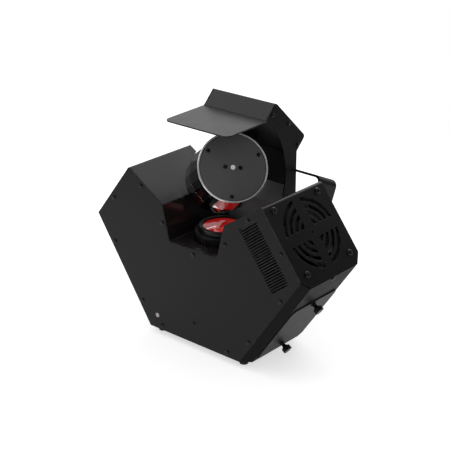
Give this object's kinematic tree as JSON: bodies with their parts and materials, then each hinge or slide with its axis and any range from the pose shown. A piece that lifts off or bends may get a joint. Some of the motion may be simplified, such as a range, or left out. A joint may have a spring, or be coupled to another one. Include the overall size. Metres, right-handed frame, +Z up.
{
  "type": "mirror barrel effect light",
  "caption": "Stage effect light: an angular black case whose lens shines up on a mirror drum that pans and rolls under a hood, with fan, hanging bracket and service door.",
  "frame": {"origin": "centre of the bounding box, at the feet's underside", "axes": "+X to the fan's side, +Y from the front plate to the back, +Z up"},
  "size_m": [0.3429, 0.176, 0.31],
  "materials": {
    "black_case": "fine satin black powder coat",
    "gloss_black": "gloss black paint inside the notch",
    "light_guard": "satin grey sheet",
    "black_steel": "black oxide steel with a slight gloss",
    "bracket_paint": "satin black powder coat",
    "black_plastic": "moulded black plastic",
    "foot_rubber": "matt black rubber",
    "lens_black": "satin black anodised",
    "red_lens": "clear glass over red light",
    "optic_glass": "clear optical glass",
    "mirror_facets": "flat mirror glass",
    "disc_paint": "satin dark grey",
    "rim_chrome": "bright polished metal",
    "bare_aluminium": "extruded aluminium",
    "motor_steel": "black lacquered motor bodies",
    "circuit_board": "green circuit boards",
    "led_package": "white board with LED chips",
    "dichroic_glass": "wheel with colour filters",
    "pattern_steel": "steel wheel with cut patterns",
    "window_plastic": "smoked acrylic",
    "indicator_plastic": "pale translucent plastic"
  },
  "bodies": {
    "case": {"front_plate": "black_case", "back_plate": "black_case", "base_plate": "black_case", "left_side_panel": "black_case", "left_vent_panel": "black_case", "left_roof_panel": "black_case", "right_roof_panel": "black_case", "fan_panel": "black_case", "right_side_panel": "black_case", "notch_tray": "gloss_black", "fan_grille_plate": "black_case", "lower_left_cover": "black_case", "lower_right_cover": "black_case", "canopy_side_left": "black_case", "canopy_side_right": "black_case", "canopy_shell": "black_case", "arm_guard_plate": "light_guard", "drum_hood": "black_case", "case_screws": "black_steel", "fan_screws": "black_steel", "canopy_screws": "black_steel", "rubber_feet": "foot_rubber", "fan_frame": "black_plastic", "heat_sink": "bare_aluminium", "led_board": "led_package", "condenser_lens": "optic_glass", "wheel_plate": "bare_aluminium", "wheel_motors": "motor_steel", "lens_tube": "lens_black", "pan_motor_plate": "black_case", "pan_motor": "motor_steel", "bracket_ears": "black_steel", "display_window": "window_plastic", "data_sockets": "black_plastic", "power_inlet": "black_plastic", "fuse_holder": "black_plastic", "electronics": "circuit_board", "indicator_window": "indicator_plastic"},
    "pan_arm": {"pan_bracket": "bracket_paint", "roll_motor": "motor_steel"},
    "drum": {"drum_shell": "mirror_facets", "drum_end_cap": "disc_paint", "drum_rim": "rim_chrome", "drum_cap_screws": "black_steel"},
    "fan_blades": {"fan_rotor": "black_plastic"},
    "colors": {"color_wheel": "dichroic_glass"},
    "patterns": {"pattern_wheel": "pattern_steel"},
    "focus": {"focus_ring": "lens_black"},
    "lens_slide": {"lens_cell": "lens_black", "front_lens": "red_lens"},
    "door": {"access_door": "black_case"},
    "door_screw_upper": {"upper_thumbscrew": "black_plastic"},
    "door_screw_lower": {"lower_thumbscrew": "black_plastic"},
    "bracket": {"hanging_bracket": "bracket_paint"},
    "knob_left": {"bracket_knob_left": "black_plastic"},
    "knob_right": {"bracket_knob_right": "black_plastic"},
    "button_1": {"menu_button_1": "black_plastic"},
    "button_2": {"menu_button_2": "black_plastic"},
    "button_3": {"menu_button_3": "black_plastic"},
    "button_4": {"menu_button_4": "black_plastic"}
  },
  "joints": [
    {"name": "pan", "type": "hinge", "parent": "case", "child": "pan_arm", "pos_m": [0, -0.02554, 0.2194], "axis": [0, -0.7071, -0.7071], "range_deg": [-45, 135]},
    {"name": "drum_roll", "type": "hinge", "parent": "pan_arm", "child": "drum", "pos_m": [0, -0.02554, 0.2194], "axis": [0.7071, -0.5, 0.5], "continuous": true},
    {"name": "fan_spin", "type": "hinge", "parent": "case", "child": "fan_blades", "pos_m": [0.12825, -0.02994, 0.17465], "axis": [0.7942, 0, 0.6076], "continuous": true},
    {"name": "color_wheel_turn", "type": "hinge", "parent": "case", "child": "colors", "pos_m": [0.031, -0.02994, 0.07], "axis": [0, 0, 1], "continuous": true},
    {"name": "pattern_wheel_turn", "type": "hinge", "parent": "case", "child": "patterns", "pos_m": [-0.031, -0.02994, 0.078], "axis": [0, 0, 1], "continuous": true},
    {"name": "focus_turn", "type": "hinge", "parent": "case", "child": "focus", "pos_m": [0, -0.02994, 0.14], "axis": [0, 0, 1], "range_deg": [0, 120]},
    {"name": "lens_focus", "type": "slide", "parent": "case", "child": "lens_slide", "axis": [0, 0, -1], "range_m": [0, 0.006]},
    {"name": "door_off", "type": "slide", "parent": "case", "child": "door", "axis": [0.8289, 0, -0.5594], "range_m": [0, 0.05]},
    {"name": "upper_thumbscrew_turn", "type": "hinge", "parent": "door", "child": "door_screw_upper", "pos_m": [0.14296, -0.02994, 0.08924], "axis": [0.8289, 0, -0.5594], "continuous": true},
    {"name": "lower_thumbscrew_turn", "type": "hinge", "parent": "door", "child": "door_screw_lower", "pos_m": [0.09653, -0.02994, 0.02044], "axis": [0.8289, 0, -0.5594], "continuous": true},
    {"name": "bracket_tilt", "type": "hinge", "parent": "case", "child": "bracket", "pos_m": [0, 0.04766, 0.1575], "axis": [1, 0, 0], "range_deg": [-110, 0]},
    {"name": "knob_left_turn", "type": "hinge", "parent": "case", "child": "knob_left", "pos_m": [-0.096, 0.04766, 0.1575], "axis": [1, 0, 0], "continuous": true},
    {"name": "knob_right_turn", "type": "hinge", "parent": "case", "child": "knob_right", "pos_m": [0.096, 0.04766, 0.1575], "axis": [1, 0, 0], "continuous": true},
    {"name": "button_1_press", "type": "slide", "parent": "case", "child": "button_1", "axis": [0, -1, 0], "range_m": [0, 0.0012], "stiffness_N_per_m": 250, "springref_m": -0.001},
    {"name": "button_2_press", "type": "slide", "parent": "case", "child": "button_2", "axis": [0, -1, 0], "range_m": [0, 0.0012], "stiffness_N_per_m": 250, "springref_m": -0.001},
    {"name": "button_3_press", "type": "slide", "parent": "case", "child": "button_3", "axis": [0, -1, 0], "range_m": [0, 0.0012], "stiffness_N_per_m": 250, "springref_m": -0.001},
    {"name": "button_4_press", "type": "slide", "parent": "case", "child": "button_4", "axis": [0, -1, 0], "range_m": [0, 0.0012], "stiffness_N_per_m": 250, "springref_m": -0.001}
  ],
  "couplings": [
    {"joint": "lens_focus", "follows": "focus_turn", "m_per_rad": 0.0028619}
  ]
}
